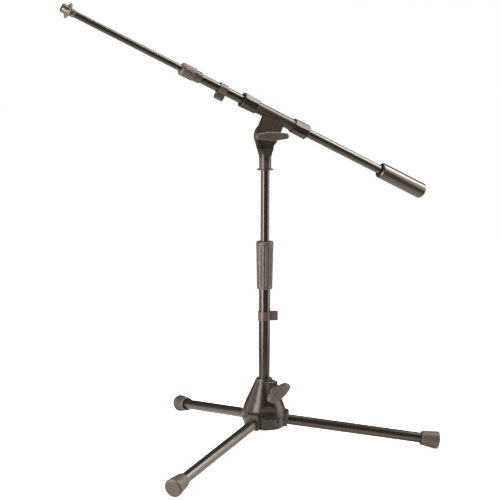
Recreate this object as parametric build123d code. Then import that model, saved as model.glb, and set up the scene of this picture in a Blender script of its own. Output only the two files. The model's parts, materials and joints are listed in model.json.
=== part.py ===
from build123d import *
import math
import os

# A low tripod microphone stand with a telescopic upright and a telescopic, counterweighted boom.
# Millimetres. The origin is on the floor under the upright, +Z is up and the right leg points along +X.

# ---- Driving dimensions ----
# Legs: distances along a leg are from the upright's axis
LEG_SLOPE = 8.26                      # degrees that a spread leg drops below the horizontal
LEG_ANGLES = {"right": 0.0, "back": 120.0, "front": 240.0}
LEG_R = 9.85
LEG_WALL = 1.5
LEG_START = 31.0
LEG_END = 318.0
BOOT_START = 301.0
BOOT_END = 336.4
BOOT_R_START = 13.6
BOOT_R_END = 16.7
BOOT_ROUND = 4.0
BOOT_LIP = 1.0                        # chamfer at the boot's mouth
BOOT_MOUTH = (1.9, 5.0)               # radial gap and depth of the hollow round the tube
PIVOT_X = 27.0                        # leg pivot, along and above the leg's own axis
PIVOT_UP = 2.8
PIN_R = 3.0
PIN_HEAD_R = 3.6
PIN_HEAD = 2.2
PIN_SEAT_R = 5.0
PIN_HEAD_Y = -28.9                    # underside of the pin's head
PIN_TIP_Y = 20.0
BLOCK_HALF = 11.3                     # half width of a hinge block
BLOCK_TOP = 13.0
BLOCK_BOTTOM = 12.6
BARREL_R = 10.2
TAIL_START = 9.5
TAIL_HALF = 6.0
TAIL_TOP = 3.0
TAIL_BOTTOM = -6.0
FLANGE_START = 39.5
FLANGE_END = 45.0
FLANGE_TOP = 18.0
FLANGE_RIB_R = 1.3
FLANGE_RIB_Y = 4.6
RIVET_X = 35.0
RIVET_R = 1.6

# The leg axes cross the upright's axis at this height, which puts the boots' lowest points on the floor
SLOPE = math.radians(LEG_SLOPE)
HUB_Z = ((BOOT_END - BOOT_ROUND) * math.sin(SLOPE)
         + (BOOT_R_END - BOOT_ROUND) * math.cos(SLOPE) + BOOT_ROUND)

# Base casting: heights are above the hub point
BELL_BOTTOM = -19.0
BELL_BOTTOM_R = 37.5
BELL_RIM = (42.0, 3.0)                # (radius, height) where the drum is widest
BELL_BULGE = (39.0, 19.5)
BELL_SHOULDER = (31.1, 38.5)
BELL_TOP_R = 15.4
BELL_TOP = 73.0
SLOT_START = 12.0
SLOT_HALF = 12.3                      # half width of a leg slot
SLOT_TOP = 19.0                       # slot roof above a leg's axis
TAIL_ROOM = (4.0, 34.0, 7.5, 22.5)    # start, end, half width and roof of the room for a block's tail
LOBE_START = 15.0
LOBE_HALF = 16.5
LOBE_END = 38.5
LOBE_TOP = 22.0
LOBE_BOTTOM = -11.0
CAVITY_R = 22.0
CAVITY_TOP = 15.0
MAST_WELL_R = 14.2
MAST_WELL_TOP = 36.0
BUSH_OUTER_R = 11.9
BUSH_LIP = (14.2, 1.2)                # radius and thickness of the bush's rim on the casting
CLAMP_ANGLE = -60.0                   # the clamp boss stands between the right and the front leg
CLAMP_Z = 55.5
CLAMP_FACE = 31.8                     # distance of the boss's outer face from the upright's axis
CLAMP_BOSS_HALF = 10.2
CLAMP_BOSS_Z = (34.0, 72.3)
FACET_ANGLE = -80.0                   # flat cut in the drum's side below the clamp boss
FACET_OUT = 36.3
FACET_Z = (14.0, 40.0)
PAD_START = 8.0
PAD_END = 16.0

# Upright
LOWER_R = 10.5
LOWER_BORE_R = 9.0
LOWER_TOP_Z = 341.5
CUP_BOTTOM = 2.0                      # underside of the foot cup above the hub point
CUP_R = 13.0
CUP_THICK = 5.0
CUP_PLUG = 17.0
CLUTCH_BOTTOM_Z = 308.5
CLUTCH_TOP_Z = 398.0
CLUTCH_R_BOTTOM = 14.35
CLUTCH_R_TOP = 16.1
FLUTE_R = 2.6                         # cutter radius of the grip's flutes
FLUTE_OUT = 2.1                       # cutter axis outside the grip's skin
FLUTE_START = 6.0                     # plain band at the grip's foot
CLUTCH_FLUTES = 14
SLEEVE_Z = (313.0, 352.0)             # threaded clutch sleeve on the lower tube's end
CLUTCH_THREAD_R = 12.2
COLLET_R = (11.6, 10.6)               # outside radius at the cone's foot and tip
COLLET_SLIT = 0.8                     # half width of the collet's slit
COLLET_SOLID = 6.0                    # unslit length at the foot
COLLET_Z = (352.0, 366.0, 384.0)
UPPER_R = 8.0
UPPER_BORE_R = 6.5
UPPER_BOTTOM_Z = 264.0
UPPER_TOP_Z = 555.0
PLUG_BELOW = 22.0
PLUG_ABOVE = 14.0
FLANGE_Z = 530.5
FLANGE_THICK = 2.5
FLANGE_R = 15.0
PIVOT_Z = 594.0                       # tilt pivot of the boom, on the upright's axis

# Tilt joint: positions along the tilt axis, from the upright's axis towards the wing
DISC_R = 23.0
JOINT_FRONT = 8.4
JOINT_BACK = -2.0
LAP = 3.2                             # middle of the friction washer
WASHER_HALF = 0.5
WASHER_R = 20.0
PLATE_BACK = 3.3
SWING = 0.35                          # room round a disc
BOLT_R = 4.0
BOLT_HEAD_HALF = 6.5                  # half of the hexagon's width across flats
BOLT_HEAD = -5.4
BOLT_SEAT = 2.0
# the yoke's neck as (depth below the pivot, radius)
NECK = [(12.0, 19.0), (17.0, 17.4), (26.0, 14.9), (34.0, 12.4), (41.0, 11.2)]
NECK_FLAT_END = 29.5                  # the flats run out from here at NECK_RAMP degrees
NECK_RAMP = 17.0

# Boom: s is the distance along the boom towards its tip, from the point nearest the tilt pivot
BOOM_RISE = 25.17                     # degrees above the horizontal, towards the tip
BOOM_TURN = 23.15                     # degrees from -X towards -Y
BOOM_OFFSET = 39.9                    # from the tilt pivot to the boom's axis
SLEEVE_R = 10.8
SLEEVE_BORE_R = 9.3
SLEEVE_FRONT = 38.0
SLEEVE_BACK = -42.0
THREAD_R = 10.1                       # the sleeve's threaded ends
NUT_LENGTH = 33.0
NUT_FLAT_START = 13.0                 # centre to flat at the sleeve and at the outer end
NUT_FLAT_END = 13.7
NUT_EDGE = 0.6                        # bevel at the nut's two ends
NUT_CORNER_R = 14.4
NUT_RECESS = (10.4, 3.0)
NUT_TWISTS = {"front": -7.0, "back": -16.0}
COLLET_REACH = (16.5, 24.0)
BOOM_R = 8.2
BOOM_BORE_R = 7.0
BOOM_BACK = -340.0
BOOM_FRONT = 186.0
WEIGHT_FRONT = -251.0
WEIGHT_BACK = -356.0
WEIGHT_R = 15.0
WEIGHT_CHAMFER = 2.0
WEIGHT_MOUTH = (11.0, 4.0)
WEIGHT_SCREW = 30.0                   # from the weight's back end
BOOM_CLUTCH_START = 161.5
BOOM_CLUTCH_STEP = 175.0
BOOM_CLUTCH_END = 203.0
BOOM_CLUTCH_R_BACK = 11.6
BOOM_CLUTCH_R = 11.8
BOOM_COLLAR_R = 10.3
BOOM_THREAD_R = 9.4
ROD_R = 5.8
ROD_WALL = 1.3
ROD_BACK = 120.0
ROD_FRONT = 419.0
FERRULE_R = 6.9
RING_START = 430.2
RING_END = 432.7
RING_R = 14.0
STUD_R = 7.94                         # 5/8 inch microphone thread
STUD_NECK_R = 7.2
STUD_END = 443.9
CLIP_ON_BOOM = 107.0
CLIP_ON_TUBE_Z = 249.5

# Handles and fits
TILT_WING = (63.0, 16.0)              # length and height
BASE_WING = (51.0, 19.5)
WING_FRONT = 26.8                     # from the face that the screw goes into
WING_TIP_SHARE = 0.34                 # tip radius over the handle's height
WING_SPREAD = 4.0                     # half the flat part of the handle's middle
WING_NECK = 8.0                       # half width of the handle's root
WING_HUB = ((7.5, 0), (8.2, 1.0), (7.2, 12))
WING_TIP_BACK = 12.8
WING_TIP_FRONT = 24.2
WING_ROOT = 8.0
BASE_WING_TWIST = 32.0
SCREW_R = 3.0
SCREW_IN_WING = 22.0
FIT = 0.05                            # radial running clearance
GAP = 0.3                             # between free surfaces of two bodies


# ---- Frames ----
def unit(*v):
    return Vector(*v).normalized()


RISE = math.radians(BOOM_RISE)
TURN = math.radians(BOOM_TURN)
ALONG = unit(-math.cos(RISE) * math.cos(TURN), -math.cos(RISE) * math.sin(TURN), math.sin(RISE))
ABOVE = unit(math.sin(RISE) * math.cos(TURN), math.sin(RISE) * math.sin(TURN), math.cos(RISE))
SIDE = ABOVE.cross(ALONG)             # the tilt axis, towards the tilt wing
PIVOT = Vector(0, 0, PIVOT_Z)
# In the boom frame local Z runs along the boom and local X points away from the tilt pivot
BOOM = Plane(origin=PIVOT + ABOVE * BOOM_OFFSET, x_dir=ABOVE, z_dir=ALONG)
# In the tilt frame local Z is the tilt axis and local Y points from the pivot to the boom
TILT = Plane(origin=PIVOT, x_dir=ALONG * -1, z_dir=SIDE)
# In the yoke frame local Z is the tilt axis and local Y points up
YOKE = Plane(origin=PIVOT, x_dir=Vector(0, 0, 1).cross(SIDE), z_dir=SIDE)
CLAMP_DIRECTION = Vector(math.cos(math.radians(CLAMP_ANGLE)), math.sin(math.radians(CLAMP_ANGLE)), 0)
# In the clamp frame local Z is the clamp screw's axis, outwards, and local Y points up
CLAMP = Plane(origin=(0, 0, HUB_Z + CLAMP_Z), x_dir=Vector(0, 0, 1).cross(CLAMP_DIRECTION),
              z_dir=CLAMP_DIRECTION)


def in_leg(shape, angle):
    """Moves a shape from the leg frame, local X along the leg from the hub, to a leg's place."""
    return Pos(0, 0, HUB_Z) * Rot(0, 0, angle) * Rot(0, LEG_SLOPE, 0) * shape


# ---- Shape helpers ----
def tube(outer, inner, start, end):
    """A ring about local Z from start to end."""
    ring = Cylinder(outer, end - start) - Cylinder(inner, end - start)
    return Pos(0, 0, (start + end) / 2) * ring


def rod(radius, start, end):
    return Pos(0, 0, (start + end) / 2) * Cylinder(radius, end - start)


def turned(*points):
    """A solid of revolution about local Z from (radius, height) points."""
    outline = Polyline(*[(r, 0, z) for r, z in points], close=True)
    return revolve(make_face(outline), Axis.Z)


def slab(x0, x1, y0, y1, z0, z1):
    middle = Pos((x0 + x1) / 2, (y0 + y1) / 2, (z0 + z1) / 2)
    return middle * Box(x1 - x0, y1 - y0, z1 - z0)


def across(radius, start, end, x=0.0, z=0.0):
    """A cylinder along local Y from start to end."""
    return Pos(x, (start + end) / 2, z) * Rot(90, 0, 0) * Cylinder(radius, end - start)


def outer_edges(shape):
    """The two circular edges of the largest radius."""
    return shape.edges().filter_by(GeomType.CIRCLE).sort_by(SortBy.RADIUS)[-2:]


def save(name, shape):
    export_step(shape, f"parts/{name}.step")


# ---- Base ----
def bell_outline():
    """The casting's outside: a steep cone that rounds into a drum, which draws in to the bottom."""
    points = [(0, BELL_BOTTOM), (BELL_BOTTOM_R, BELL_BOTTOM), BELL_RIM, BELL_BULGE, BELL_SHOULDER,
              (BELL_TOP_R, BELL_TOP), (0, BELL_TOP)]
    at = [(r, 0, HUB_Z + z) for r, z in points]
    edges = [Line(at[0], at[1]), Line(at[1], at[2]), ThreePointArc(at[2], at[3], at[4]),
             Line(at[4], at[5]), Line(at[5], at[6]), Line(at[6], at[0])]
    return make_face(edges)


def clamp_boss():
    """Upright block on the casting's side with a flat face for the wing."""
    low, high = CLAMP_BOSS_Z
    boss = slab(-CLAMP_BOSS_HALF, CLAMP_BOSS_HALF, low - CLAMP_Z, high - CLAMP_Z, 0, CLAMP_FACE)
    return CLAMP * chamfer(boss.faces().sort_by(Axis.Z)[-1].edges(), 0.8)


def leg_lobe():
    """Rounded hood over a leg slot."""
    lobe = slab(LOBE_START, LOBE_END, -LOBE_HALF, LOBE_HALF, LOBE_BOTTOM, LOBE_TOP)
    lobe = fillet(lobe.edges().filter_by(Axis.X).group_by(Axis.Z)[-1], 6)
    return fillet(lobe.faces().sort_by(Axis.X)[-1].edges(), 1.0)


def leg_slot():
    """Room for a hinge block, its tail and its pivot pin."""
    start, end, half, roof = TAIL_ROOM
    room = slab(SLOT_START, 60, -SLOT_HALF, SLOT_HALF, -40, SLOT_TOP)
    room += slab(start, end, -half, half, -20, roof)
    room += across(PIN_R, PIN_HEAD_Y - 1, PIN_TIP_Y, PIVOT_X, PIVOT_UP)
    return room + across(PIN_SEAT_R, PIN_HEAD_Y - 20, PIN_HEAD_Y, PIVOT_X, PIVOT_UP)


def base_housing():
    body = revolve(bell_outline(), Axis.Z)
    body = fillet(body.edges().filter_by(GeomType.CIRCLE).group_by(Axis.Z)[0], 1.5)
    for angle in LEG_ANGLES.values():
        body += in_leg(leg_lobe(), angle)
    facet = slab(FACET_OUT, FACET_OUT + 20, -30, 30, HUB_Z + FACET_Z[0], HUB_Z + FACET_Z[1])
    body -= Rot(0, 0, FACET_ANGLE) * facet
    body += clamp_boss()
    body -= rod(CAVITY_R, HUB_Z + BELL_BOTTOM - 1, HUB_Z + CAVITY_TOP)
    body -= rod(MAST_WELL_R, HUB_Z, HUB_Z + MAST_WELL_TOP)
    body -= rod(BUSH_OUTER_R, HUB_Z, HUB_Z + BELL_TOP + 1)
    for angle in LEG_ANGLES.values():
        body -= in_leg(leg_slot(), angle)
    return body - CLAMP * rod(SCREW_R + FIT, 5, 60)


def leg_pins():
    """Three pivot pins, each with a domed head at one end."""
    pins = []
    for angle in LEG_ANGLES.values():
        head = across(PIN_HEAD_R, PIN_HEAD_Y - PIN_HEAD, PIN_HEAD_Y, PIVOT_X, PIVOT_UP)
        head = fillet(head.edges().filter_by(GeomType.CIRCLE).group_by(Axis.Y)[0], 1.2)
        pins.append(in_leg(head + across(PIN_R, PIN_HEAD_Y, PIN_TIP_Y, PIVOT_X, PIVOT_UP), angle))
    return Compound(pins)


def guide_bush():
    """Plastic lining of the casting's bore, with a lip on top and a hole for the clamp pad."""
    lip_r, lip_thick = BUSH_LIP
    bush = tube(BUSH_OUTER_R, LOWER_R + FIT, HUB_Z + MAST_WELL_TOP, HUB_Z + BELL_TOP)
    lip = tube(lip_r, LOWER_R + FIT, HUB_Z + BELL_TOP, HUB_Z + BELL_TOP + lip_thick)
    return bush + lip - CLAMP * rod(SCREW_R + 1, 5, 20)


def clamp_pad():
    """Brass plug that the clamp screw presses on the lower tube, hollowed to the tube's radius."""
    pad = CLAMP * rod(SCREW_R, PAD_START, PAD_END)
    return pad - rod(LOWER_R + FIT, HUB_Z, HUB_Z + BELL_TOP)


def wing_handle(length, height, bore):
    """A moulded handle about local Z: a bar with tapered ends across the screw, on a round hub."""
    half = length / 2
    tip_r = WING_TIP_SHARE * height
    middle = Pos(-WING_SPREAD, 0) * Circle(height / 2) + Pos(WING_SPREAD, 0) * Circle(height / 2)
    tips = [Pos(side * (half - tip_r), 0) * Circle(tip_r) for side in (-1, 1)]
    bar = extrude(make_hull((middle + tips[0] + tips[1]).edges()), WING_FRONT)
    end = half + 1
    back = [(side * end, 0, WING_TIP_BACK) for side in (-1, 1)]
    front = [(side * end, 0, WING_TIP_FRONT) for side in (-1, 1)]
    root = [(side * WING_NECK, 0, WING_ROOT) for side in (-1, 1)]
    edges = [
        Polyline(front[0], back[0], root[0], root[1], back[1], front[1]),
        ThreePointArc(front[1], (0, 0, WING_FRONT), front[0]),
    ]
    bar = bar & extrude(make_face(edges), height, both=True)
    bar = fillet(bar.edges(), 2.0)
    hub = turned((0, 0), *WING_HUB, (0, WING_HUB[-1][1]))
    return bar + hub - rod(bore, -1, SCREW_IN_WING)


def base_wing():
    handle = Rot(0, 0, BASE_WING_TWIST) * wing_handle(*BASE_WING, SCREW_R)
    return CLAMP * Pos(0, 0, CLAMP_FACE + 2 * GAP) * handle


def base_screw():
    return CLAMP * rod(SCREW_R, PAD_END + GAP, CLAMP_FACE + 2 * GAP + SCREW_IN_WING)


# ---- Legs ----
def hinge_block():
    """Moulded block in the leg frame: pivot barrel, inner tail, socket for the leg, outer flange."""
    barrel = across(BARREL_R, -BLOCK_HALF, BLOCK_HALF, PIVOT_X, PIVOT_UP)
    body = slab(PIVOT_X, FLANGE_START, -BLOCK_HALF, BLOCK_HALF, -BLOCK_BOTTOM, BLOCK_TOP)
    tail = slab(TAIL_START, PIVOT_X, -TAIL_HALF, TAIL_HALF, TAIL_BOTTOM, TAIL_TOP)
    flange = slab(FLANGE_START, FLANGE_END, -BLOCK_HALF, BLOCK_HALF, -BLOCK_BOTTOM, FLANGE_TOP)
    flange = fillet(flange.edges().filter_by(Axis.X), 3.0)
    flange = chamfer(flange.faces().sort_by(Axis.X)[-1].edges(), 0.6)
    block = barrel + body + tail + flange
    for side in (-1, 1):
        rib = Rot(0, 90, 0) * rod(FLANGE_RIB_R, FLANGE_START, FLANGE_END - 0.8)
        block += Pos(0, side * FLANGE_RIB_Y, FLANGE_TOP) * rib
    block -= Rot(0, 90, 0) * rod(LEG_R, LEG_START, FLANGE_END + 1)
    block -= across(PIN_R + FIT, -BLOCK_HALF - 1, BLOCK_HALF + 1, PIVOT_X, PIVOT_UP)
    return block - leg_rivet_hole()


def leg_rivet_hole():
    return across(RIVET_R, -BLOCK_HALF - 1, BLOCK_HALF + 1, RIVET_X)


def leg_tube():
    return Rot(0, 90, 0) * tube(LEG_R, LEG_R - LEG_WALL, LEG_START, LEG_END) - leg_rivet_hole()


def leg_rivet():
    """Rivet through the block and the leg tube, with its ends just under the block's sides."""
    return across(RIVET_R, 0.1 - BLOCK_HALF, BLOCK_HALF - 0.1, RIVET_X)


def boot():
    """Rubber foot: a flared cup on the leg's end with a hollow mouth round the tube."""
    span = BOOT_END - BOOT_START
    side = span - BOOT_ROUND
    inner_r = BOOT_R_END - BOOT_ROUND
    corner = math.sqrt(0.5) * BOOT_ROUND
    outline = [
        Line((0, 0, span), (inner_r, 0, span)),
        ThreePointArc((inner_r, 0, span), (inner_r + corner, 0, side + corner), (BOOT_R_END, 0, side)),
        Line((BOOT_R_END, 0, side), (BOOT_R_START, 0, BOOT_LIP)),
        Line((BOOT_R_START, 0, BOOT_LIP), (BOOT_R_START - BOOT_LIP, 0, 0)),
        Line((BOOT_R_START - BOOT_LIP, 0, 0), (0, 0, 0)),
        Line((0, 0, 0), (0, 0, span)),
    ]
    mouth_gap, mouth_depth = BOOT_MOUTH
    body = revolve(make_face(outline), Axis.Z)
    body -= rod(LEG_R, -1, LEG_END - BOOT_START)
    body -= rod(LEG_R + mouth_gap, -1, mouth_depth)
    return Pos(BOOT_START, 0, 0) * Rot(0, 90, 0) * body


# ---- Upright ----
def foot_cup():
    """Plastic cup on the lower tube's bottom end: its face presses on the tails of the blocks."""
    bottom = HUB_Z + CUP_BOTTOM
    disc = fillet(rod(CUP_R, bottom, bottom + CUP_THICK).edges(), 0.8)
    return disc + rod(LOWER_BORE_R, bottom + CUP_THICK - 1, bottom + CUP_PLUG)


def lower_tube():
    return tube(LOWER_R, LOWER_BORE_R, HUB_Z + CUP_BOTTOM + CUP_THICK + FIT, LOWER_TOP_Z)


def clutch_body():
    """Threaded sleeve on the top end of the lower tube, with a stop above the tube's edge."""
    bottom, top = SLEEVE_Z
    sleeve = tube(CLUTCH_THREAD_R, LOWER_R, bottom, LOWER_TOP_Z)
    return sleeve + tube(CLUTCH_THREAD_R, LOWER_BORE_R + 0.2, LOWER_TOP_Z, top)


def clutch_collet():
    """Split cone that the grip squeezes onto the upper tube."""
    bottom, shoulder, top = COLLET_Z
    inner = UPPER_R + FIT
    root, tip = COLLET_R
    cone = turned((inner, bottom), (root, bottom), (root, shoulder), (tip, top), (inner, top))
    return cone - slab(0, 20, -COLLET_SLIT, COLLET_SLIT, bottom + COLLET_SOLID, top + 1)


def clutch_grip():
    """Tapered grip with shallow flutes."""
    height = CLUTCH_TOP_Z - CLUTCH_BOTTOM_Z
    lean = math.degrees(math.atan((CLUTCH_R_TOP - CLUTCH_R_BOTTOM) / height))
    foot = ((CLUTCH_R_BOTTOM - 0.8, CLUTCH_BOTTOM_Z), (CLUTCH_R_BOTTOM, CLUTCH_BOTTOM_Z + 1.0))
    top = ((CLUTCH_R_TOP, CLUTCH_TOP_Z - 1.8), (CLUTCH_R_TOP - 1.4, CLUTCH_TOP_Z))
    body = turned((0, CLUTCH_BOTTOM_Z), *foot, *top, (0, CLUTCH_TOP_Z))
    middle = (CLUTCH_BOTTOM_Z + CLUTCH_TOP_Z) / 2
    mean_r = (CLUTCH_R_BOTTOM + CLUTCH_R_TOP) / 2
    for i in range(CLUTCH_FLUTES):
        place = Pos(mean_r + FLUTE_OUT, 0, middle + FLUTE_START) * Rot(0, lean, 0)
        cutter = place * Cylinder(FLUTE_R, height - FLUTE_START)
        body -= Rot(0, 0, 360 * i / CLUTCH_FLUTES) * cutter
    body -= rod(CLUTCH_THREAD_R + GAP, CLUTCH_BOTTOM_Z - 1, COLLET_Z[2] + 2)
    return body - rod(UPPER_R + GAP, COLLET_Z[2], CLUTCH_TOP_Z + 1)


def cable_clip(tube_r, wall, width, reach, stub_width):
    """Ring about local Z with a mouth towards +Y and a hollow round-ended stub along +X."""
    mouth = tube_r * 0.62
    ring = tube(tube_r + wall, tube_r + FIT, 0, width)
    ring -= slab(-mouth, mouth, 0, tube_r + wall + 1, -1, width + 1)
    stub = slab(tube_r + 0.5, reach, -stub_width / 2, stub_width / 2, 0, width)
    stub = fillet(stub.edges().filter_by(Axis.Z).group_by(Axis.X)[-1], stub_width / 2 - 0.6)
    hollow = Pos(reach - stub_width * 0.55, 0, 0) * rod(stub_width * 0.24, -1, width + 1)
    return ring + stub - hollow


def guide_plug():
    """Plastic foot on the upper tube that keeps it centred in the lower tube."""
    foot = rod(LOWER_BORE_R - FIT, UPPER_BOTTOM_Z - PLUG_BELOW, UPPER_BOTTOM_Z)
    return foot + rod(UPPER_BORE_R - FIT, UPPER_BOTTOM_Z, UPPER_BOTTOM_Z + PLUG_ABOVE)


def upper_tube():
    return tube(UPPER_R, UPPER_BORE_R, UPPER_BOTTOM_Z + FIT, UPPER_TOP_Z)


def flange_washer():
    ring = tube(FLANGE_R, UPPER_R, FLANGE_Z, FLANGE_Z + FLANGE_THICK)
    return chamfer(outer_edges(ring), 0.6)


def yoke():
    """Casting on the upper tube: round socket, flared neck with flats, and a half-lap disc."""
    foot = PIVOT_Z - FLANGE_Z - FLANGE_THICK
    foot_r = NECK[-1][1]
    outline = [(0, -foot), (foot_r, -foot)] + [(r, -depth) for depth, r in reversed(NECK)]
    body = Pos(0, 0, PIVOT_Z) * turned(*outline, (0, -NECK[0][0]))
    for side in (1, -1):
        flat = slab(-40, 40, -NECK_FLAT_END, 0, JOINT_FRONT, 30)
        ramp = Pos(0, -NECK_FLAT_END, JOINT_FRONT) * Rot(-NECK_RAMP, 0, 0) * slab(-30, 30, -10, 0, 0, 20)
        body -= YOKE * Rot(0, 0 if side > 0 else 180, 0) * (flat + ramp)
    lap = LAP - WASHER_HALF
    body -= YOKE * slab(-40, 40, -DISC_R - SWING, 0, lap, 30)
    disc = rod(DISC_R, JOINT_BACK, lap)
    disc = fillet(disc.edges().group_by(Axis.Z)[0], 1.0)
    body += YOKE * disc
    body -= rod(UPPER_R, FLANGE_Z - 5, UPPER_TOP_Z)
    body -= YOKE * rod(BOLT_R, -20, 20)
    return body - YOKE * Pos(0, 0, JOINT_BACK) * hexagon(BOLT_HEAD_HALF, BOLT_SEAT)


# ---- Boom joint ----
def bracket():
    """Casting that carries the boom: sleeve with threaded ends, plate and a half-lap disc."""
    lap = LAP + WASHER_HALF
    reach = NUT_LENGTH / 2
    sleeve = rod(SLEEVE_R, SLEEVE_BACK, SLEEVE_FRONT)
    sleeve += rod(THREAD_R, SLEEVE_BACK - reach, SLEEVE_FRONT + reach)
    plate = slab(-DISC_R, DISC_R, 0, BOOM_OFFSET, PLATE_BACK, JOINT_FRONT)
    plate += rod(DISC_R, PLATE_BACK, JOINT_FRONT)
    plate = fillet(plate.edges().group_by(Axis.Z)[-1], 0.6)
    plate -= rod(DISC_R + SWING, 0, lap)
    plate -= slab(-30, 30, -30, 0, 0, lap)
    body = TILT * plate + BOOM * sleeve
    body -= BOOM * rod(SLEEVE_BORE_R, SLEEVE_BACK - 60, SLEEVE_FRONT + 60)
    return body - TILT * rod(BOLT_R + FIT, -20, 20)


def hexagon(across_half, height):
    return extrude(RegularPolygon(across_half, 6, major_radius=False), height)


def friction_washer():
    return YOKE * tube(WASHER_R, BOLT_R, LAP - WASHER_HALF, LAP + WASHER_HALF - FIT)


def tilt_bolt():
    """Hexagon-headed bolt seated in the yoke's back; the wing turns on its front end."""
    head = Pos(0, 0, BOLT_HEAD) * hexagon(BOLT_HEAD_HALF, JOINT_BACK + BOLT_SEAT - BOLT_HEAD)
    return YOKE * (head + rod(BOLT_R, -1, JOINT_FRONT + 2 * GAP + SCREW_IN_WING - 1))


def tilt_wing():
    handle = Rot(0, 0, BOOM_RISE) * wing_handle(*TILT_WING, BOLT_R + FIT)
    return TILT * Pos(0, 0, JOINT_FRONT + 2 * GAP) * handle


def boom_collet():
    """Split liner between the sleeve and the boom tube, from the sleeve's middle outwards."""
    half = (SLEEVE_FRONT - SLEEVE_BACK) / 2
    start, end = half + COLLET_REACH[0], half + COLLET_REACH[1]
    inner = BOOM_R + FIT
    liner = tube(SLEEVE_BORE_R - FIT, inner, 6, start + 0.5)
    cone = turned((inner, start), (THREAD_R - 0.2, start), (THREAD_R - 1.1, end), (inner, end))
    return liner + cone - slab(0, 20, -0.7, 0.7, half + 4, end + 1)


def grip_nut(twist):
    """Grip nut about local Z from the sleeve outwards: eight flats that widen to a hollow end."""
    taper = math.degrees(math.atan((NUT_FLAT_END - NUT_FLAT_START) / NUT_LENGTH))
    eight = RegularPolygon(NUT_FLAT_START, 8, major_radius=False, rotation=twist)
    body = extrude(eight, NUT_LENGTH, taper=-taper)
    near = (NUT_FLAT_START - NUT_EDGE, GAP)
    far = (NUT_FLAT_END - NUT_EDGE, NUT_LENGTH)
    sides = ((NUT_CORNER_R, 2.2), (NUT_CORNER_R, NUT_LENGTH - 1.6))
    body &= turned((0, GAP), near, *sides, far, (0, NUT_LENGTH))
    recess_r, recess_depth = NUT_RECESS
    body -= rod(recess_r, NUT_LENGTH - recess_depth, NUT_LENGTH + 1)
    return body - rod(THREAD_R + FIT, -1, NUT_LENGTH - 5.5) - rod(BOOM_R + GAP, 0, 40)


# ---- Boom ----
def boom_tube():
    return tube(BOOM_R, BOOM_BORE_R, BOOM_BACK, BOOM_FRONT)


def counterweight():
    """Steel bar bored for the boom tube, chamfered, with a wide mouth at the front."""
    mouth_r, mouth_depth = WEIGHT_MOUTH
    body = rod(WEIGHT_R, WEIGHT_BACK, WEIGHT_FRONT)
    body = chamfer(body.edges().filter_by(GeomType.CIRCLE), WEIGHT_CHAMFER)
    body -= rod(BOOM_R, BOOM_BACK, WEIGHT_FRONT + 1)
    body -= rod(mouth_r, WEIGHT_FRONT - mouth_depth, WEIGHT_FRONT + 1)
    return body - weight_screw_at(WEIGHT_R + 1)


def weight_screw_at(end):
    """A rod on the set screw's axis, from the boom tube down to end."""
    return Pos(0, 0, WEIGHT_BACK + WEIGHT_SCREW) * Rot(0, -90, 0) * rod(SCREW_R, BOOM_R, end)


def weight_screw():
    """Set screw sunk in the weight's underside."""
    return weight_screw_at(WEIGHT_R - 1)


def boom_clutch_body():
    """Collar on the boom tube's front end, threaded for the grip."""
    collar = tube(BOOM_COLLAR_R, BOOM_R, BOOM_CLUTCH_START, BOOM_CLUTCH_STEP)
    collar = chamfer(outer_edges(collar), 0.6)
    return collar + tube(BOOM_THREAD_R, BOOM_R, BOOM_CLUTCH_STEP, BOOM_FRONT)


def boom_clutch_collet():
    inner, end = ROD_R + FIT, BOOM_FRONT + 11
    cone = turned((inner, BOOM_FRONT), (BOOM_THREAD_R - 0.2, BOOM_FRONT), (7.6, end), (inner, end))
    return cone - slab(0, 20, -0.6, 0.6, BOOM_FRONT + 3, end + 1)


def boom_clutch_grip():
    start, end = BOOM_CLUTCH_STEP + GAP, BOOM_CLUTCH_END
    body = turned((0, start), (BOOM_CLUTCH_R_BACK - 0.7, start), (BOOM_CLUTCH_R_BACK, start + 0.7),
                  (BOOM_CLUTCH_R, end - 2.4), (BOOM_CLUTCH_R - 1.2, end), (0, end))
    body -= rod(BOOM_THREAD_R + FIT, start - 1, BOOM_FRONT + 11.6)
    return body - rod(ROD_R + GAP, start, end + 1)


def rod_guide():
    """Plug on the rod's inner end that slides in the boom tube."""
    foot = rod(BOOM_BORE_R - FIT, ROD_BACK - 18, ROD_BACK)
    return foot + rod(ROD_R - ROD_WALL, ROD_BACK, ROD_BACK + 12)


def boom_rod():
    return tube(ROD_R, ROD_R - ROD_WALL + FIT, ROD_BACK + FIT, ROD_FRONT)


def tip_ferrule():
    """Shouldered sleeve on the rod's end, behind the lock ring."""
    end = RING_START - GAP
    body = turned((0, ROD_FRONT), (FERRULE_R - 0.8, ROD_FRONT), (FERRULE_R, ROD_FRONT + 0.8),
                  (FERRULE_R, end), (0, end))
    return body + rod(ROD_R - ROD_WALL, ROD_FRONT - 12, ROD_FRONT)


def lock_ring():
    ring = tube(RING_R, STUD_NECK_R + FIT, RING_START, RING_END)
    return chamfer(outer_edges(ring), 0.6)


def thread_stud():
    """Microphone thread at its outer diameter, on a narrower neck inside the lock ring."""
    thread = rod(STUD_R, RING_END + GAP, STUD_END)
    thread = chamfer(thread.edges().group_by(Axis.Z)[-1], 0.8)
    return thread + rod(STUD_NECK_R, RING_START - GAP, RING_END + GAP)


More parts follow.
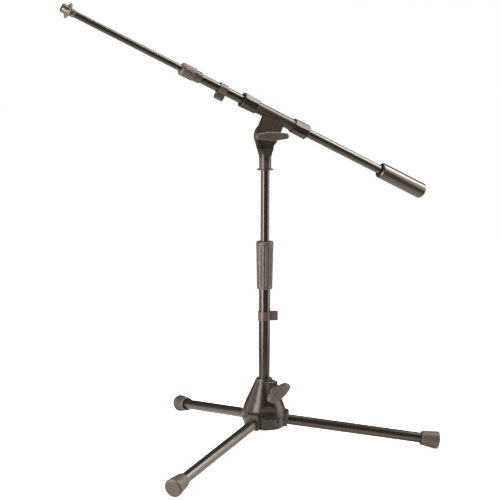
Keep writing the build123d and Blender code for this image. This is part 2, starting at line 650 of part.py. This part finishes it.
def main():
    os.makedirs("parts", exist_ok=True)
    save("base_housing", base_housing())
    save("leg_pins", leg_pins())
    save("guide_bush", guide_bush())
    save("clamp_pad", clamp_pad())
    save("base_wing", base_wing())
    save("base_screw", base_screw())
    leg_pieces = {"hinge_block": hinge_block(), "leg_tube": leg_tube(),
                  "leg_rivet": leg_rivet(), "boot": boot()}
    for leg, angle in LEG_ANGLES.items():
        for piece, shape in leg_pieces.items():
            save(f"{piece}_{leg}", in_leg(shape, angle))

    save("foot_cup", foot_cup())
    save("lower_tube", lower_tube())
    save("clutch_body", clutch_body())
    save("clutch_collet", clutch_collet())
    save("clutch_grip", clutch_grip())
    save("cable_clip_tube", Pos(0, 0, CLIP_ON_TUBE_Z) * cable_clip(LOWER_R, 1.6, 16, 25.2, 12))
    save("guide_plug", guide_plug())
    save("upper_tube", upper_tube())
    save("flange_washer", flange_washer())
    save("yoke", yoke())

    save("bracket", bracket())
    save("friction_washer", friction_washer())
    save("tilt_bolt", tilt_bolt())
    save("tilt_wing", tilt_wing())
    middle = (SLEEVE_FRONT + SLEEVE_BACK) / 2
    to_front = BOOM * Pos(0, 0, middle)
    to_back = BOOM * Pos(0, 0, middle) * Rot(180, 0, 0)
    save("boom_collet_front", to_front * boom_collet())
    save("boom_collet_back", to_back * boom_collet())
    nut_front = grip_nut(22.5 + NUT_TWISTS["front"])
    nut_back = grip_nut(22.5 - NUT_TWISTS["back"])
    save("grip_nut_front", BOOM * Pos(0, 0, SLEEVE_FRONT) * nut_front)
    save("grip_nut_back", BOOM * Pos(0, 0, SLEEVE_BACK) * Rot(180, 0, 0) * nut_back)

    save("boom_tube", BOOM * boom_tube())
    save("counterweight", BOOM * counterweight())
    save("weight_screw", BOOM * weight_screw())
    save("boom_clutch_body", BOOM * boom_clutch_body())
    save("boom_clutch_collet", BOOM * boom_clutch_collet())
    save("boom_clutch_grip", BOOM * boom_clutch_grip())
    clip_width = 15.5
    clip = Pos(0, 0, clip_width) * Rot(0, 180, 0) * cable_clip(BOOM_R, 2.1, clip_width, 20.5, 12)
    save("cable_clip_boom", BOOM * Pos(0, 0, CLIP_ON_BOOM) * clip)
    save("rod_guide", BOOM * rod_guide())
    save("boom_rod", BOOM * boom_rod())
    save("tip_ferrule", BOOM * tip_ferrule())
    save("lock_ring", BOOM * lock_ring())
    save("thread_stud", BOOM * thread_stud())


main()
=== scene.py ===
"""Looks of a low tripod microphone stand with a telescopic upright and a counterweighted boom."""
import json
import math

import bpy
from mathutils import Matrix, Vector


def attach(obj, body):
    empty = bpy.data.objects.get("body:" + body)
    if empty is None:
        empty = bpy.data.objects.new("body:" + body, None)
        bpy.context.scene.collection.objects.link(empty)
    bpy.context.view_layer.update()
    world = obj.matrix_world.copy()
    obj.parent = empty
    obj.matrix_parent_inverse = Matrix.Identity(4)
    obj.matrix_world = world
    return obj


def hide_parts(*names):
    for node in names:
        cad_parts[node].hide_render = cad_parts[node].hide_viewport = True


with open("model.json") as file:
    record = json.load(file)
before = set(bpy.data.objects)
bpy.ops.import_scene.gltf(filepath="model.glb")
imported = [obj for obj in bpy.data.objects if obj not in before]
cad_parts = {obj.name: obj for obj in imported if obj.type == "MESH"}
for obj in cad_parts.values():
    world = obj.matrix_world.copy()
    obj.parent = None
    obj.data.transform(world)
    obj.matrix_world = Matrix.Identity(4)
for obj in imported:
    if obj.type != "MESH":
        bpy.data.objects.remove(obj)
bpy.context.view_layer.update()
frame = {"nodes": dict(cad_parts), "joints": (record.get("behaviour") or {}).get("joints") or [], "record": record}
joints = {j["name"]: j for j in frame["joints"]}
slots = {s["node"]: s["material_slot"] for s in frame["record"]["subparts"]}
bodies = frame["record"]["behaviour"]["bodies"]
body_of = {node: body for body, nodes in bodies.items() for node in nodes}
MM = 0.001


# ---- Camera, light and floor ----
CAMERA_PLACE = (-0.105, -2.433, 0.717)
CAMERA_DOWN = 7.85                    # degrees below the horizontal
CAMERA_TURN = -0.51                   # degrees about Z from looking along +Y
CAMERA_LENS = 95.04
CAMERA_SHIFT = 0.06
SENSOR_WIDTH = 36.0
FAR_CLIP = 60.0
WARM = (1.0, 0.90, 0.80)
WHITE = (1.0, 1.0, 1.0, 1.0)
ROOM_GLOW = 0.05                      # of the backdrop and floor, for all but camera rays
FLOOR_SIZE = 40.0
FLOOR_EDGES = (0.35, 0.9)             # the floor's tone changes between these radii
FLOOR_GRAY = (0.8, 0.08)              # near and far reflectance
FLOOR_GLOW = (0.75, 1.0)              # near and far brightness to the camera

# name, place, target, width and height, watts
SOFTBOXES = (
    ("key_left", (-0.74, -0.66, 0.58), (0, 0, 0.58), (0.52, 1.15), 27),
    ("side_left", (-1.23, 0.22, 0.60), (0, 0, 0.6), (1.0, 1.15), 9),
    ("side_right", (1.00, 0.05, 0.58), (0, 0, 0.58), (0.75, 1.15), 13),
    ("high_right", (1.60, 0.25, 1.90), (0.05, 0, 0.58), (1.4, 1.2), 76),
    ("overhead", (-0.1, 0.1, 1.9), (0, 0, 0.4), (1.8, 0.35), 22),
)


def make_camera():
    """A long lens a little above the boom's height, looking slightly down."""
    data = bpy.data.cameras.new("camera")
    data.lens = CAMERA_LENS
    data.sensor_width = SENSOR_WIDTH
    data.shift_x = CAMERA_SHIFT
    data.clip_end = FAR_CLIP
    camera = bpy.data.objects.new("camera", data)
    camera.location = CAMERA_PLACE
    camera.rotation_euler = (math.radians(90 - CAMERA_DOWN), 0, math.radians(CAMERA_TURN))
    bpy.context.scene.collection.objects.link(camera)
    bpy.context.scene.camera = camera


def softbox(name, place, target, size, power):
    """A rectangular lamp aimed at a point, seen in reflections but not by the camera."""
    data = bpy.data.lights.new(name, "AREA")
    data.shape = "RECTANGLE"
    data.size, data.size_y = size
    data.energy = power
    data.color = WARM
    lamp = bpy.data.objects.new(name, data)
    lamp.location = place
    aim = Vector(target) - Vector(place)
    lamp.rotation_euler = aim.to_track_quat("-Z", "Y").to_euler()
    lamp.visible_camera = False
    bpy.context.scene.collection.objects.link(lamp)


def camera_glow(tree, socket, glow):
    """Drives a strength: glow, a number or an output, to the camera and ROOM_GLOW to all else."""
    seen = tree.nodes.new("ShaderNodeLightPath")
    strength = tree.nodes.new("ShaderNodeMix")
    strength.inputs[2].default_value = ROOM_GLOW
    if isinstance(glow, float):
        strength.inputs[3].default_value = glow
    else:
        tree.links.new(glow, strength.inputs[3])
    tree.links.new(seen.outputs["Is Camera Ray"], strength.inputs["Factor"])
    tree.links.new(strength.outputs[0], socket)


def make_lights():
    """A white backdrop, a dim room, and softboxes overhead, on the left and on the right."""
    world = bpy.data.worlds.new("studio")
    bpy.context.scene.world = world
    world.use_nodes = True
    background = world.node_tree.nodes["Background"]
    background.inputs["Color"].default_value = WHITE
    camera_glow(world.node_tree, background.inputs["Strength"], 1.0)
    for box in SOFTBOXES:
        softbox(*box)


def make_floor():
    """Matt white paper that fades into the backdrop and reflects less light far from the stand."""
    bpy.ops.mesh.primitive_plane_add(size=FLOOR_SIZE, location=(0, 0, 0))
    floor = bpy.context.object
    floor.name = "floor"
    paper, tree, shader = new_material("floor_paper", WHITE[:3], 0.9)
    shader.inputs["Specular IOR Level"].default_value = 0.1
    shader.inputs["Emission Color"].default_value = WHITE
    place = tree.nodes.new("ShaderNodeTexCoord")
    distance = tree.nodes.new("ShaderNodeVectorMath")
    distance.operation = "LENGTH"
    tree.links.new(place.outputs["Object"], distance.inputs[0])
    gray = spread(tree, distance.outputs["Value"], *FLOOR_GRAY, *FLOOR_EDGES)
    tree.links.new(gray, shader.inputs["Base Color"])
    glow = spread(tree, distance.outputs["Value"], *FLOOR_GLOW, *FLOOR_EDGES)
    camera_glow(tree, shader.inputs["Emission Strength"], glow)
    floor.data.materials.append(paper)


# ---- Materials ----
SHADE_SCALE = 38.0                    # soft patches between the two shades, per metre
GLOSS_SCALE = 240.0                   # patches of uneven gloss, per metre
BUMP_DISTANCE = 0.2 * MM
EDGE_WEAR_AND_HIGHLIGHT = (0.52, 0.60)              # pointiness from which an outer edge is painted paler, as wear and as a painted highlight

# slot: two shades, lowest and highest roughness, grain per metre, grain strength, colour of paler edges (wear and
# painted highlight)
PAINTS = {
    "tube_paint": ((0.0115, 0.0095, 0.008), (0.0130, 0.0108, 0.0092),
                   (0.20, 0.23), 900, 0.01, None),
    "weight_paint": ((0.0135, 0.0112, 0.0095), (0.0155, 0.0130, 0.0110),
                     (0.19, 0.22), 900, 0.01, (0.03, 0.027, 0.024)),
    "casting_paint": ((0.0085, 0.0068, 0.0056), (0.0105, 0.0085, 0.0071),
                      (0.26, 0.32), 500, 0.05, (0.040, 0.034, 0.029)),
    "black_plastic": ((0.034, 0.0285, 0.0245), (0.042, 0.0360, 0.0315),
                      (0.40, 0.50), 700, 0.08, (0.075, 0.067, 0.06)),
    "gloss_plastic": ((0.011, 0.0093, 0.0080), (0.0140, 0.0120, 0.0105),
                      (0.26, 0.32), 900, 0.03, (0.05, 0.044, 0.04)),
    "boot_rubber": ((0.030, 0.0252, 0.0218), (0.038, 0.0325, 0.0285),
                    (0.42, 0.52), 700, 0.10, (0.07, 0.062, 0.055)),
    "washer_plastic": ((0.013, 0.0115, 0.010), (0.017, 0.015, 0.0135),
                       (0.36, 0.45), 1200, 0.15, None),
    "black_steel": ((0.020, 0.0175, 0.0155), (0.027, 0.024, 0.0215),
                    (0.28, 0.36), 1300, 0.12, (0.08, 0.072, 0.065)),
}
DULL_SPECULAR = {"casting_paint": 0.33, "gloss_plastic": 0.33}   # below the usual 0.5

# slot: colour, lowest and highest roughness
METALS = {
    "zinc_steel": ((0.55, 0.55, 0.53), (0.28, 0.42)),
    "thread_steel": ((0.14, 0.125, 0.11), (0.25, 0.38)),
    "brass_pad": ((0.62, 0.46, 0.22), (0.3, 0.4)),
}
METAL_LIFT = 1.12                     # second shade over the first
METAL_GRAIN = (1100, 0.15)


def new_material(name, color, roughness):
    """A principled material with its constants set on the shader."""
    material = bpy.data.materials.new(name)
    material.use_nodes = True
    tree = material.node_tree
    shader = tree.nodes["Principled BSDF"]
    shader.inputs["Base Color"].default_value = (*color, 1)
    shader.inputs["Roughness"].default_value = roughness
    return material, tree, shader


def noise(tree, scale, detail=3.0):
    """A noise texture in object coordinates."""
    place = tree.nodes.new("ShaderNodeTexCoord")
    texture = tree.nodes.new("ShaderNodeTexNoise")
    texture.inputs["Scale"].default_value = scale
    texture.inputs["Detail"].default_value = detail
    tree.links.new(place.outputs["Object"], texture.inputs["Vector"])
    return texture.outputs[0]


def spread(tree, value, low, high, start=0.35, end=0.65):
    """Maps a texture's value from start..end to low..high."""
    ramp = tree.nodes.new("ShaderNodeMapRange")
    for name, number in (("From Min", start), ("From Max", end), ("To Min", low), ("To Max", high)):
        ramp.inputs[name].default_value = number
    tree.links.new(value, ramp.inputs["Value"])
    return ramp.outputs["Result"]


def mixed(tree, factor, first, second):
    """Mixes two colours, each a constant or an output."""
    mix = tree.nodes.new("ShaderNodeMix")
    mix.data_type = "RGBA"
    for socket, color in ((mix.inputs[6], first), (mix.inputs[7], second)):
        if isinstance(color, tuple):
            socket.default_value = (*color, 1)
        else:
            tree.links.new(color, socket)
    tree.links.new(factor, mix.inputs["Factor"])
    return mix.outputs[2]


def bump(tree, shader, height, strength):
    """Fine relief from a texture's output."""
    node = tree.nodes.new("ShaderNodeBump")
    node.inputs["Strength"].default_value = strength
    node.inputs["Distance"].default_value = BUMP_DISTANCE
    tree.links.new(height, node.inputs["Height"])
    tree.links.new(node.outputs["Normal"], shader.inputs["Normal"])


def paint(name, dark, light, rough, grain, strength, edge=None):
    """Two close shades in soft patches, fine grain, uneven gloss and, if named, paler edges that stand for wear
    and for a painted highlight.
    """
    material, tree, shader = new_material(name, dark, sum(rough) / 2)
    color = mixed(tree, spread(tree, noise(tree, SHADE_SCALE), 0, 1), dark, light)
    if edge:
        # Outer edges take the edge colour: partly wear, partly a painted highlight where light catches the edge.
        geometry = tree.nodes.new("ShaderNodeNewGeometry")
        wear_and_highlight = spread(tree, geometry.outputs["Pointiness"], 0.0, 1.0, *EDGE_WEAR_AND_HIGHLIGHT)
        color = mixed(tree, wear_and_highlight, color, edge)
    tree.links.new(color, shader.inputs["Base Color"])
    gloss = spread(tree, noise(tree, GLOSS_SCALE), *rough)
    tree.links.new(gloss, shader.inputs["Roughness"])
    bump(tree, shader, noise(tree, grain, detail=2.0), strength)
    return material


def make_materials():
    """One material for each of the record's slots."""
    kinds = {name: paint(name, *look) for name, look in PAINTS.items()}
    for name, level in DULL_SPECULAR.items():
        shader = kinds[name].node_tree.nodes["Principled BSDF"]
        shader.inputs["Specular IOR Level"].default_value = level
    for name, (color, rough) in METALS.items():
        lighter = tuple(METAL_LIFT * c for c in color)
        kinds[name] = paint(name, color, lighter, rough, *METAL_GRAIN)
        shader = kinds[name].node_tree.nodes["Principled BSDF"]
        shader.inputs["Metallic"].default_value = 1.0
    return kinds


def paint_nodes(kinds):
    """Gives every CAD node the material of its slot."""
    for name, obj in frame["nodes"].items():
        obj.data.materials.clear()
        obj.data.materials.append(kinds[slots[name]])


# ---- Detailed pieces ----
SHARP_ANGLE = 38.0                    # degrees between faces from which an edge stays sharp


def axis_frame(origin, along, across):
    """A frame whose local Z is along and whose local X is nearest to across."""
    z = Vector(along).normalized()
    x = Vector(across)
    x = (x - z * x.dot(z)).normalized()
    y = z.cross(x)
    turn = Matrix((x, y, z)).transposed().to_4x4()
    return Matrix.Translation(Vector(origin)) @ turn


def span(node, place):
    """(start, end, largest radius) of a CAD node about a frame's Z, in metres."""
    back = place.inverted()
    points = [back @ v.co for v in frame["nodes"][node].data.vertices]
    heights = [p.z for p in points]
    return min(heights), max(heights), max(math.hypot(p.x, p.y) for p in points)


def steps(start, end, count):
    """Evenly spaced values from start to end, both included."""
    return [start + (end - start) * i / count for i in range(count + 1)]


def saw(value):
    """A triangle wave: 1 at whole numbers, 0 halfway between them."""
    return abs(2 * (value % 1.0) - 1)


def fade(inside, reach):
    """0 outside a patterned zone, rising to 1 at a distance of reach inside it."""
    return max(0.0, min(1.0, inside / reach))


def skin(node, place, heights, radius, around, bore=()):
    """Replaces a CAD node by a closed shape about a frame's Z.
    radius(turn, height) gives the outside, with turn from 0 to 1. The bore is a list of
    (radius, height) points from the far end back to the near end; without one the ends are flat."""
    rings = [[(radius(j / around, z), z) for j in range(around)] for z in heights]
    rings += [[(r, z)] * around for r, z in bore]
    verts = []
    for ring in rings:
        for j, (r, z) in enumerate(ring):
            angle = 2 * math.pi * j / around
            verts.append(place @ Vector((r * math.cos(angle), r * math.sin(angle), z)))
    faces = []
    pairs = list(zip(range(len(rings)), range(1, len(rings))))
    if bore:
        pairs.append((len(rings) - 1, 0))
    else:
        faces.append(list(range(around))[::-1])
        faces.append([(len(rings) - 1) * around + j for j in range(around)])
    for a, b in pairs:
        for j in range(around):
            k = (j + 1) % around
            faces.append((a * around + j, a * around + k, b * around + k, b * around + j))
    mesh = bpy.data.meshes.new(node + "_detail")
    mesh.from_pydata(verts, [], faces)
    mesh.validate()
    mesh.polygons.foreach_set("use_smooth", [True] * len(mesh.polygons))
    mesh.set_sharp_from_angle(angle=math.radians(SHARP_ANGLE))
    piece = bpy.data.objects.new(node + "_detail", mesh)
    bpy.context.scene.collection.objects.link(piece)
    piece.data.materials.append(materials[slots[node]])
    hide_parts(node)
    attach(piece, body_of[node])
    return piece


# The pieces below have rings of points close together where their outline bends.
POINTS_PER_RIB = 6                    # points round a piece for each rib or tooth
POINTS_PER_LINE = 8                   # the same for each knurl line
THREAD_PITCH = 25.4 / 27 * MM
THREAD_DEPTH = 0.5 * MM
THREAD_START = 0.3 * MM               # bare length above the lock ring
STUD_NECK_R = 7.2 * MM
STUD_CHAMFER = 0.8 * MM
SHARP_STEP = 0.01 * MM                # height over which a sharp step is made
THREAD_RINGS = 84
THREAD_AROUND = 72


def microphone_stud():
    """27 turns per inch on the stud, starting at the lock ring."""
    start, end, outer = span("thread_stud", boom)
    first = span("lock_ring", boom)[1] + THREAD_START

    def radius(turn, z):
        if z < first:
            return STUD_NECK_R
        cut = THREAD_DEPTH * saw(z / THREAD_PITCH - turn)
        return min(outer - cut, outer - STUD_CHAMFER + (end - z))
    heights = [start, first - SHARP_STEP] + steps(first, end, THREAD_RINGS)
    skin("thread_stud", boom, heights, radius, THREAD_AROUND)


RIBS = 40
RIB_DEPTH = 0.25 * MM
RIB_FADE = 0.8 * MM
RIB_BAND = (1.8 * MM, 0.6 * MM)       # plain bands below and above the ribs
CLUTCH_BEVEL = 0.7 * MM
CLUTCH_TAPER = 0.2 * MM               # the outer end is wider by this
CLUTCH_LIP = (2.4 * MM, 1.2 * MM)     # length of the closing lip and its drop
CLUTCH_HOLE_R = 6.1 * MM
CLUTCH_CHAMBER_R = 9.45 * MM
CLUTCH_FACE = 5.4 * MM                # thickness of the end round the rod


def boom_clutch():
    """Fine ribs along the boom clutch's grip between two plain bands."""
    start, end, outer = span("boom_clutch_grip", boom)
    low_band, high_band = RIB_BAND
    lip, drop = CLUTCH_LIP

    def radius(turn, z):
        bevel = CLUTCH_BEVEL * (1 - min(1.0, (z - start) / CLUTCH_BEVEL))
        base = outer - CLUTCH_TAPER * (end - z) / (end - start) - bevel
        if z > end - lip:
            return base - drop * (z - end + lip) / lip
        inside = min(z - start - low_band, end - lip - high_band - z)
        return base - RIB_DEPTH * (1 - saw(turn * RIBS)) * fade(inside, RIB_FADE)
    heights = [start] + steps(start + CLUTCH_BEVEL, start + 3 * MM, 6)
    heights += steps(start + 3.2 * MM, end - 4.6 * MM, 8)
    heights += steps(end - 4.2 * MM, end, 10)
    chamber = end - CLUTCH_FACE
    bore = [(CLUTCH_HOLE_R, end), (CLUTCH_HOLE_R, chamber)]
    bore += [(CLUTCH_CHAMBER_R, chamber), (CLUTCH_CHAMBER_R, start)]
    skin("boom_clutch_grip", boom, heights, radius, RIBS * POINTS_PER_RIB, bore)


NUT_LENGTH = 33 * MM
NUT_GAP = 0.3 * MM                    # clear of the sleeve's end
NUT_FLATS = (13.0 * MM, 13.7 * MM)    # centre to flat at the two ends
NUT_CORNER_R = 14.4 * MM
NUT_SIDES = 8
NUT_ROUND = (1.4 * MM, 1.1 * MM)      # lengths of the bevels at the two ends
NUT_BEVEL = 0.6                       # drop of a bevel over its length
NUT_MOUTH = (10.4 * MM, 30.0 * MM)    # radius of the hollow outer end and where it begins
NUT_HOLE = (8.5 * MM, 27.5 * MM)      # the same for the hole round the tube
NUT_THREAD_R = 10.15 * MM
KNURL_DEPTH = 0.14 * MM
KNURL_PITCH = 2.4 * MM
KNURL_LINES = 40
KNURL_BAND = (2.6 * MM, 3.0 * MM)     # plain bands at the two ends
KNURL_FADE = 0.8 * MM
KNURL_RINGS = 84


def grip_nut(node, place, twist):
    """Eight tapered flats with a diagonal knurl, and a hollow outer end."""
    half_side = 180 / NUT_SIDES
    near, far = NUT_FLATS
    near_round, far_round = NUT_ROUND
    low_band, high_band = KNURL_BAND

    def radius(turn, z):
        flat = near + (far - near) * z / NUT_LENGTH
        angle = (turn * 360 - twist + half_side) % (2 * half_side) - half_side
        base = min(flat / math.cos(math.radians(angle)), NUT_CORNER_R)
        inside = min(z - low_band, NUT_LENGTH - high_band - z)
        knurl = min(saw(turn * KNURL_LINES + z / KNURL_PITCH), saw(turn * KNURL_LINES - z / KNURL_PITCH))
        base -= KNURL_DEPTH * (1 - knurl) * fade(inside, KNURL_FADE)
        bevel = max(0.0, near_round - (z - NUT_GAP)) + max(0.0, z - NUT_LENGTH + far_round)
        return base - NUT_BEVEL * bevel
    heights = [NUT_GAP, NUT_GAP + 0.7 * MM, NUT_GAP + 1.4 * MM]
    heights += steps(2.4 * MM, NUT_LENGTH - 2.6 * MM, KNURL_RINGS)
    heights += [NUT_LENGTH - 1.1 * MM, NUT_LENGTH - 0.5 * MM, NUT_LENGTH]
    mouth_r, mouth = NUT_MOUTH
    hole_r, hole = NUT_HOLE
    bore = [(mouth_r, NUT_LENGTH), (mouth_r, mouth), (hole_r, mouth), (hole_r, hole)]
    bore += [(NUT_THREAD_R, hole), (NUT_THREAD_R, NUT_GAP)]
    skin(node, place, heights, radius, KNURL_LINES * POINTS_PER_LINE, bore)


FLUTES = 18
FLUTE_DEPTH = 0.75 * MM
FLUTE_BAND = (3 * MM, 5.5 * MM)       # plain bands below and above the flutes
FLUTE_FADE = 3 * MM
GRIP_FOOT_R = 14.35 * MM
GRIP_FOOT_BEVEL = 1.0 * MM
GRIP_FOOT_SLOPE = 0.8                 # drop of the bevel over its length
GRIP_TOP_BEVEL = 1.4 * MM
RIM_TEETH = 36
RIM_HEIGHT = 3.4 * MM
RIM_NOTCH = (0.35, 0.55 * MM, 0.6 * MM)   # share of a tooth's width, depth, run-out
GRIP_HOLE_R = 8.3 * MM
GRIP_CHAMBER_R = 12.5 * MM
GRIP_FACE = 12 * MM                   # thickness of the end round the upper tube


def clutch_grip():
    """Soft flutes along the upright's grip and small teeth round its top rim."""
    start, end, outer = span("clutch_grip", upright)
    low_band, high_band = FLUTE_BAND
    width, notch_depth, run_out = RIM_NOTCH

    def radius(turn, z):
        base = GRIP_FOOT_R + (outer - GRIP_FOOT_R) * (z - start) / (end - start)
        base -= GRIP_FOOT_SLOPE * max(0.0, GRIP_FOOT_BEVEL - (z - start))
        inside = min(z - start - low_band, end - high_band - z)
        wave = 0.5 - 0.5 * math.cos(2 * math.pi * turn * FLUTES)
        base -= FLUTE_DEPTH * wave * fade(inside, FLUTE_FADE)
        if z > end - RIM_HEIGHT:
            notch = max(0.0, width - saw(turn * RIM_TEETH)) / width
            base -= notch_depth * notch * min(1.0, (z - end + RIM_HEIGHT) / run_out)
        return base - max(0.0, z - end + GRIP_TOP_BEVEL)
    heights = steps(start, start + 6 * MM, 8) + steps(start + 7 * MM, end - 9.5 * MM, 10)
    heights += steps(end - 8.5 * MM, end, 22)
    chamber = end - GRIP_FACE
    bore = [(GRIP_HOLE_R, end), (GRIP_HOLE_R, chamber)]
    bore += [(GRIP_CHAMBER_R, chamber), (GRIP_CHAMBER_R, start)]
    skin("clutch_grip", upright, heights, radius, RIM_TEETH * POINTS_PER_RIB, bore)


NUT_TWISTS = (-7.0, 16.0)             # degrees, front and back


def grip_nuts():
    """The two nuts, each from the sleeve outwards."""
    front = span("grip_nut_front", boom)[1] - NUT_LENGTH
    back = span("grip_nut_back", boom)[0] + NUT_LENGTH
    flip = Matrix.Rotation(math.pi, 4, "X")
    grip_nut("grip_nut_front", boom @ Matrix.Translation((0, 0, front)), NUT_TWISTS[0])
    grip_nut("grip_nut_back", boom @ Matrix.Translation((0, 0, back)) @ flip, NUT_TWISTS[1])


# ---- Everything in order ----
make_camera()
make_lights()
make_floor()
materials = make_materials()
paint_nodes(materials)

boom_origin = Vector(joints["boom_turn"]["pos_m"])
away_from_pivot = boom_origin - Vector(joints["boom_tilt"]["pos_m"])
boom = axis_frame(boom_origin, joints["boom_turn"]["axis"], away_from_pivot)
upright = axis_frame((0, 0, 0), (0, 0, 1), (1, 0, 0))
microphone_stud()
boom_clutch()
grip_nuts()
clutch_grip()

bpy.context.scene.view_settings.view_transform = "Standard"
